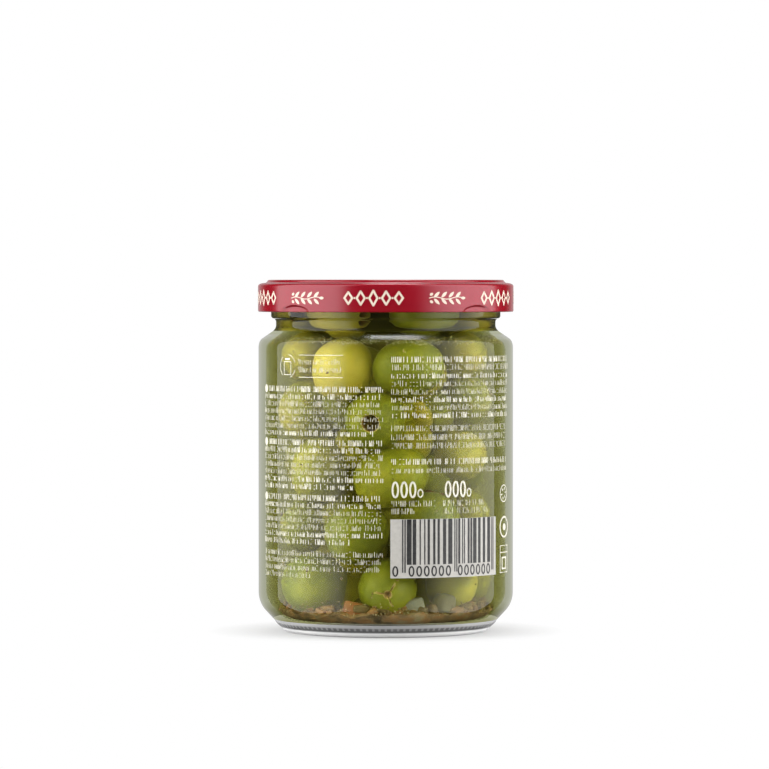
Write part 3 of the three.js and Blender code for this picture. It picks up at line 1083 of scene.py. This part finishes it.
class Ink:
    """Marks of ink as thin closed patches that follow a cylinder. A place is (along, height) in
    millimetres: along is the arc from the front, + to the right."""

    def __init__(self, radius):
        self.radius = radius
        self.verts, self.faces = [], []

    def point(self, along, height, lift):
        radius = self.radius + lift
        turn = along / self.radius
        self.verts.append((radius * math.sin(turn), -radius * math.cos(turn), height))
        return len(self.verts) - 1

    def patch(self, outline):
        """A small shape from its outline, anticlockwise, closed round its own middle."""
        middle = [sum(p[k] for p in outline) / len(outline) for k in (0, 1)]
        rings = []
        for lift in (INK_TOP, INK_FOOT):
            rings.append([self.point(*p, lift) for p in outline] + [self.point(*middle, lift)])
        top, under = rings
        count = len(outline)
        for i in range(count):
            j = (i + 1) % count
            self.faces.append((top[i], top[j], top[count]))
            self.faces.append((under[j], under[i], under[count]))
            self.faces.append((top[j], top[i], under[i], under[j]))

    def bar(self, left, right, low, high):
        """An upright or level bar, in steps short enough to follow the glass."""
        steps = max(1, math.ceil((right - left) / 1.5))
        upper, lower = [], []
        for i in range(steps + 1):
            along = left + (right - left) * i / steps
            upper.append([self.point(along, z, INK_TOP) for z in (low, high)])
            lower.append([self.point(along, z, INK_FOOT) for z in (low, high)])
        for i in range(steps):
            a, b, c, d = upper[i], upper[i + 1], lower[i], lower[i + 1]
            self.faces += [(a[0], b[0], b[1], a[1]), (c[0], c[1], d[1], d[0])]
            self.faces += [(a[0], c[0], d[0], b[0]), (a[1], b[1], d[1], c[1])]
        for side, turned_over in ((0, False), (steps, True)):
            a, c = upper[side], lower[side]
            end = (a[0], a[1], c[1], c[0])
            self.faces.append(end[::-1] if turned_over else end)

    def line(self, points, width, closed=False):
        """A line of even width through points, as one patch for each stretch."""
        for start, stop in zip(points, points[1:] + points[:1] if closed else points[1:]):
            length = math.dist(start, stop)
            run, rise = [(b - a) / length * width for a, b in zip(start, stop)]
            outline = []
            for (along, height), end, side in ((start, -1, 1), (stop, 1, 1), (stop, 1, -1), (start, -1, -1)):
                along += end * run * 0.3 + side * rise / 2
                outline.append((along, height + end * rise * 0.3 - side * run / 2))
            self.patch(outline)

    def frame(self, left, right, low, high, width):
        self.line([(left, low), (right, low), (right, high), (left, high)], width, closed=True)

    def ring(self, along, height, wide, tall, width, start=0, stop=360):
        """An oval line, or an arc of one between two angles in degrees."""
        steps = max(8, round((stop - start) / 18))
        points = []
        for i in range(steps + (stop - start < 360)):
            turn = math.radians(start + (stop - start) * i / steps)
            points.append((along + wide / 2 * math.cos(turn), height + tall / 2 * math.sin(turn)))
        self.line(points, width, closed=stop - start >= 360)

    def oval(self, along, height, wide, tall, tilt=0, sides=14, points=0):
        """A filled oval, or with points a leaf that is drawn out to a tip at both ends."""
        outline = []
        for i in range(sides):
            turn = 2 * math.pi * i / sides
            x, y = wide / 2 * math.cos(turn), tall / 2 * math.sin(turn) * abs(math.sin(turn)) ** points
            outline.append((
                along + x * math.cos(tilt) - y * math.sin(tilt),
                height + x * math.sin(tilt) + y * math.cos(tilt),
            ))
        self.patch(outline)

    def make(self, name, dark, light):
        make_piece(name, self.verts, self.faces, [ink_material(name + "_ink", dark, light)], sharp=30)


# Marks for the texture of small print, none of them a letter. Each is a set of strokes in a cell one
# wide and one tall: upright strokes as (place, low, high), level strokes as (height, left, right).
MARKS = [
    ([(0, 0, 1), (1, 0, 1)], []),
    ([(0, 0, 1), (1, 0, 0.5)], []),
    ([(0, 0.45, 1), (1, 0, 1)], []),
    ([(0.5, 0, 1)], []),
    ([(0, 0, 1)], [(0.5, 0.5, 1)]),
    ([(1, 0, 1)], [(0, 0, 0.5)]),
    ([], [(0, 0, 1), (1, 0, 1)]),
    ([(0, 0, 1), (0.5, 0, 0.6), (1, 0, 1)], []),
]


def mark(ink, left, low, wide, tall, stroke, rng):
    """One mark of small print."""
    uprights, levels = rng.choice(MARKS)
    inner = wide - stroke
    for place, bottom, top in uprights:
        at = left + place * inner
        ink.bar(at, at + stroke, low + bottom * (tall - stroke), low + top * (tall - stroke) + stroke)
    for height, start, stop in levels:
        at = low + height * (tall - stroke)
        ink.bar(left + start * inner + stroke * 0.9, left + stop * inner, at, at + stroke * 0.85)


# Bold and plain print: stroke, width of a mark, gap between marks and space between words. Then the
# heights of capitals and of small marks.
BOLD = (0.24, 0.84, 0.28, 0.72)
PLAIN = (0.145, 0.74, 0.29, 0.68)
TALL, SHORT = 1.72, 1.3


def small_print(ink, left, right, height, bold, rng, capitals=False):
    """A line of small print: words of a few marks each, from left to right, centred on a height."""
    stroke, wide, gap, space = BOLD if bold else PLAIN
    at = left
    while at < right - wide:
        for i in range(rng.randint(2, 9)):
            if at > right - wide:
                break
            tall_first = capitals or i == 0 and rng.random() < 0.2
            tall = TALL if tall_first else rng.choice((SHORT, SHORT, SHORT, TALL))
            mark(ink, at, height - 0.8, wide, tall, stroke, rng)
            at += wide + gap
        at += space - gap


LEFT_EDGE, LEFT_END = -48.4, -0.8
RIGHT_EDGE, RIGHT_END = 1.7, 49.5
LINE_PITCH = 2.24

# Blocks of the left column: height of the first line, where each line ends, and which are bold
LEFT_BLOCKS = (
    (76.4, [LEFT_END] * 6 + [-3.8], (0, 1, 6)),
    (60.0, [LEFT_END] * 6 + [-9.8], (0, 1, 5, 6)),
    (43.1, [LEFT_END] * 6 + [-10.9], (0, 1, 5, 6)),
    (26.0, [LEFT_END] * 3 + [-24.5], ()),
)

# Lines of the right column: height, how far they stop short of its end, bold, capitals
RIGHT_LINES = (
    (85.6, 0, True, True), (83.2, 0, False, True), (80.7, 0, True, False), (78.3, 0, False, False),
    (75.8, 0, False, False), (73.4, 0, True, False), (71.0, 0, False, False), (68.6, 0, True, False),
    (64.6, 1.5, False, True), (61.9, 1.5, False, True), (59.3, 1.5, False, True),
    (54.4, 1, True, True), (51.8, 1, False, False),
)

# The short lines under the two large figures: left, right, height
CAPTIONS = ((1.8, 16.4, 41.6), (18.2, 34.4, 41.6), (1.8, 9.2, 39.3), (18.2, 36.5, 39.3))
FIGURES = (1.8, 18.8)
FIGURE_FOOT = 43.4


def left_column(ink, rng):
    """The column of small print on the left, over it two lines between rules beside a pictogram."""
    for height in (86.9, 80.1):
        ink.bar(-29.2, -13.3, height - 0.09, height + 0.09)
    small_print(ink, -29.4, -13.6, 84.8, False, rng)
    small_print(ink, -29.4, -12.8, 82.4, False, rng)
    shake_pictogram(ink, -34.3, 83.4)
    for top, ends, bold_rows in LEFT_BLOCKS:
        for i, end in enumerate(ends):
            headed = i == 0 and bool(bold_rows)
            left = LEFT_EDGE + 3 if headed else LEFT_EDGE
            small_print(ink, left, end, top - LINE_PITCH * i, i in bold_rows, rng, capitals=headed)
        if bold_rows:
            ink.oval(LEFT_EDGE + 1.2, top, 2.3, 2.5)


def shake_pictogram(ink, along, height):
    """A plain outline of a small jar, with an arc on each side for shaking it."""
    ink.frame(along - 1.6, along + 1.6, height - 2.6, height + 1.4, 0.22)
    ink.bar(along - 1.2, along + 1.2, height + 1.9, height + 2.5)
    for start, stop in ((20, 80), (130, 230), (290, 340)):
        ink.ring(along, height, 7.2, 7.2, 0.2, start, stop)


def right_column(ink, rng):
    """The column of small print on the right, with two figures in large marks under it."""
    for height, short, bold, capitals in RIGHT_LINES:
        small_print(ink, RIGHT_EDGE, RIGHT_END - short, height, bold, rng, capitals)
    for left in FIGURES:
        large_figure(ink, left, FIGURE_FOOT)
    for left, right, height in CAPTIONS:
        small_print(ink, left, right, height, False, rng, capitals=True)


def large_figure(ink, left, low):
    """Three tall noughts and a small ring after them."""
    for i in range(3):
        ink.ring(left + 1.1 + 2.7 * i, low + 2.5, 1.7, 4.5, 0.6)
    ink.ring(left + 8.9, low + 1.4, 1.5, 2.3, 0.42)


# Left, right, foot and top of the panel and of the bars on it
PANEL = (1.4, 40.6, 18.9, 36.9)
CODE = (5.0, 39.6, 23.0, 36.85)
MODULES = 95
GUARD_REACH = 2.4

# The noughts under the bars: where each group starts, and how many it has
NOUGHTS = ((2.9, 1), (7.9, 6), (24.3, 6))
NOUGHT_PITCH = 2.42
NOUGHT_HEIGHT = 21.0
NOUGHT_SHAPE = (1.4, 2.8, 0.46)


def code_panel(panel, bars, rng):
    """An off-white panel with a bar code of random bars over a row of noughts."""
    panel.bar(*PANEL)
    left, right, low, high = CODE
    module = (right - left) / MODULES
    at = 0
    while at < MODULES:
        long_bar = at < 4 or at > MODULES - 5 or abs(at - MODULES / 2) < 3
        wide = 1 if long_bar else rng.choice((1, 1, 2, 2, 3, 4))
        foot = low - GUARD_REACH if long_bar else low
        bars.bar(left + at * module, left + min(at + wide, MODULES) * module, foot, high)
        at += wide + (1 if long_bar else rng.choice((1, 1, 2, 3)))
    for first, count in NOUGHTS:
        for i in range(count):
            bars.ring(first + NOUGHT_PITCH * i, NOUGHT_HEIGHT, *NOUGHT_SHAPE)


def right_symbols(ink):
    """Three plain signs one above the other beside the panel."""
    ink.ring(46.2, 43.8, 5.2, 5.2, 0.3)
    for i in range(6):
        turn = math.radians(60 * i + 12)
        ink.oval(46.2 + 1.5 * math.cos(turn), 43.8 + 1.5 * math.sin(turn), 1.0, 0.5, turn)
    ink.ring(46.6, 33.4, 6.2, 6.2, 0.55)
    ink.oval(46.6, 33.4, 2.2, 2.2)
    ink.frame(43.6, 49.4, 19.3, 27.6, 0.25)
    ink.bar(43.6, 49.4, 25.4, 25.65)
    ink.frame(45.0, 48.0, 20.5, 23.9, 0.5)


def glass_print():
    rng = random.Random(31)
    cream, panel, bars = Ink(BODY_RADIUS), Ink(BODY_RADIUS), Ink(BODY_RADIUS + INK_TOP)
    left_column(cream, rng)
    right_column(cream, rng)
    right_symbols(cream)
    code_panel(panel, bars, rng)
    cream.make("print_cream", (0.34, 0.325, 0.26), (0.4, 0.385, 0.32))
    panel.make("print_panel", (0.215, 0.207, 0.19), (0.25, 0.242, 0.222))
    bars.make("print_bars", (0.006, 0.006, 0.006), (0.02, 0.02, 0.02))


def lid_sprig(ink, along, height):
    """An olive twig with four pairs of leaves, a leaf at its tip and two fruits at its foot."""
    ink.line([(along - 5.6 + 1.12 * i, height + 0.35 * math.sin(i * 0.9)) for i in range(11)], 0.24)
    for i in range(4):
        at = along - 3.9 + 2.5 * i
        for side in (-1, 1):
            ink.oval(at + 0.75, height + side * 1.05, 2.5, 0.95, side * 0.75, points=0.6)
    ink.oval(along + 6.2, height, 1.6, 0.9, points=0.4)
    for side in (-1, 1):
        ink.oval(along - 4.9, height + side * 1.15, 1.15, 0.85, side * 0.5)


LOZENGE_PITCH = 3.9
LOZENGE_TALL = 4.5
LOZENGE_REACH = 1.25
LOZENGE_STROKE = 0.62


def lid_band(ink, along, height):
    """A plain row of five open lozenges, lower at its ends, with a dot between each two of them."""
    for i in range(-2, 3):
        at = along + LOZENGE_PITCH * i
        reach, rise = LOZENGE_REACH, LOZENGE_TALL * (1 - 0.1 * abs(i)) / 2
        corners = [(at - reach, height), (at, height - rise), (at + reach, height), (at, height + rise)]
        ink.line(corners, LOZENGE_STROKE, closed=True)
        if i < 2:
            ink.oval(at + LOZENGE_PITCH / 2, height, LOZENGE_STROKE, LOZENGE_STROKE, sides=8)


LID_BAND_STEP = 45.9
LID_BAND_ALONG = -3.8


def lid_ornament():
    """Round the skirt, bands of lozenges and olive twigs by turns, wider apart at the back."""
    ink = Ink(LID_RADIUS)
    middle = (LID_FOOT + JAR_HEIGHT) / 2 - 0.6
    for i in range(-2, 3):
        lid_band(ink, LID_BAND_ALONG + LID_BAND_STEP * i, middle)
    for i in range(-2, 2):
        lid_sprig(ink, LID_BAND_ALONG + LID_BAND_STEP * (i + 0.5), middle)
    lid_sprig(ink, LID_BAND_ALONG + math.pi * LID_RADIUS, middle)
    ink.make("lid_ornament", (0.36, 0.3, 0.245), (0.41, 0.34, 0.28))


# The stage


def camera():
    data = bpy.data.cameras.new("camera")
    eye = put_in_scene("camera", data)
    at = Vector((EYE_ASIDE, -EYE_DISTANCE, EYE_HEIGHT)) * MM
    aim = Vector((EYE_ASIDE, 0, EYE_HEIGHT - AIM_DROP)) * MM
    eye.location = at
    eye.rotation_euler = (aim - at).to_track_quat("-Z", "Y").to_euler()
    data.sensor_width = SENSOR
    data.lens = SENSOR * (aim - at).length / (FRAME_SPAN * MM)
    data.clip_start = 0.05
    bpy.context.scene.camera = eye


def soft_box(name, at, size, radiance, fade=(0.0, 0.02), mirrored=True, lights=True):
    """A flat lamp of a size in metres that faces the jar, with its radiance at full strength. Across
    its width it rises from dark to full between the fade's two shares, counted from its end near the
    camera. One that isn't mirrored only lights, and one that doesn't light is only mirrored."""
    data = bpy.data.lights.new(name, "AREA")
    data.shape = "RECTANGLE"
    data.size, data.size_y = size
    data.energy = radiance * math.pi * size[0] * size[1]
    n = Nodes(data, "OutputLight")
    across = n.axis(n.add("NewGeometry").outputs["Parametric"], "X")
    dark, full = [share if at[0] > 0 else 1 - share for share in fade]
    n.close(n.out("Emission", Strength=n.spread(across, dark, full, curve="SMOOTHSTEP")))
    lamp = put_in_scene(name, data)
    lamp.visible_glossy = mirrored
    lamp.visible_transmission = mirrored
    lamp.visible_diffuse = lights
    lamp.location = at
    aim = Vector((0, 0, JAR_HEIGHT / 2 * MM)) - lamp.location
    lamp.rotation_euler = aim.to_track_quat("-Z", "Y").to_euler()


def lamps():
    """Tall boxes whose mirror images are the bands at the jar's sides, fills that only light, and a
    small box over the back that is only mirrored, for the highlight on the shoulder."""
    soft_box("left_box", (-0.647, -0.268, 0.12), (1.476, 2.3), 1.8, (0.15, 0.3))
    soft_box("right_box", (0.656, -0.245, 0.12), (1.376, 2.3), 1.75, (0.0, 0.48))
    for side in (-1, 1):
        soft_box("side_fill", (side * 0.75, -0.25, 0.35), (0.8, 0.8), 8.6, mirrored=False)
    soft_box("front_fill", (0.01, -1.2, 0.5), (0.9, 0.9), 2.7, mirrored=False)
    soft_box("window", (0.06, 0.39, 1.0), (0.3, 0.27), 10.5, (-0.8, 0.7), lights=False)
    soft_box("top_box", (0.01, 0.5, 1.0), (1.6, 0.9), 1.8, mirrored=False)


# Along the room, from its front to its back: where its light rises, and from what to what
ROOM_LIGHT = (-0.6, 0.9, 0.38, 1.0)
ROOM_IN_MIRRORS = (0.75, 0.95, 0.03, 0.55)


def world():
    """White to the eye, straight or through the glass. To anything else the room is dim in front and
    bright behind the jar, and in mirrors only its far end is bright."""
    room = bpy.data.worlds.new("studio")
    bpy.context.scene.world = room
    n = Nodes(room, "OutputWorld")
    seen = n.math("MAXIMUM", n.light("Is Camera Ray"), n.light("Is Transmission Ray"))
    back = n.axis(n.add("TexCoord").outputs["Generated"], "Y")
    lit = n.spread(back, *ROOM_LIGHT)
    mirrored = n.spread(back, *ROOM_IN_MIRRORS)
    unseen = n.spread(n.light("Is Glossy Ray"), 0.0, 1.0, lit, mirrored)
    level = n.spread(n.direct(seen), 0.0, 1.0, unseen, 1.0)
    n.close(n.out("Background", Color=grey(1), Strength=level))


# Radii of the floor in millimetres, its grey, and how far off in metres it turns into even white
FLOOR_RINGS = (80, 200, 500, 6000)
FLOOR_GREY = 0.31
FLOOR_FADE = (0.019, 0.056)


def floor():
    """A pale floor under the jar that turns into even white a little way off, like the background."""
    verts, faces = turned([(0, 0)] + [(radius, 0) for radius in FLOOR_RINGS], 64)
    mesh = bpy.data.meshes.new("floor")
    mesh.from_pydata([(x * MM, y * MM, -0.00002) for x, y, _ in verts], [], faces)
    sheet = put_in_scene("floor", mesh)
    # The photo shows no floor in the glass
    sheet.visible_glossy = False
    n = material("pale_floor")
    far = n.add("VectorMath", operation="LENGTH", Vector=n.where()).outputs["Value"]
    through = n.direct(n.light("Is Transmission Ray"))
    white = n.math("MAXIMUM", n.spread(far, *FLOOR_FADE), through)
    paper = n.out("BsdfDiffuse", Color=grey(FLOOR_GREY))
    mesh.materials.append(n.close(n.blend(white, paper, n.out("Emission", Color=grey(1), Strength=1.0))))


camera()
skin = olive_material()
rng = random.Random(7)
glass_jar()
brine()
joined_olives("olives", outer_olives(), 40, skin, rng)
joined_olives("inner_olives", inner_olives(rng), 20, skin, rng)
painted_shade_core()
bed()
sediment(rng)
herb_flecks(rng)
oil_drops(rng)
vegetables(rng)
soft_scraps(rng)
lid()
glass_print()
lid_ornament()
lamps()
world()
floor()

bpy.context.scene.view_settings.view_transform = "Standard"
cycles = bpy.context.scene.cycles
cycles.max_bounces = 24
cycles.glossy_bounces = 16
cycles.transmission_bounces = 24
cycles.transparent_max_bounces = 24
bpy.context.view_layer.update()
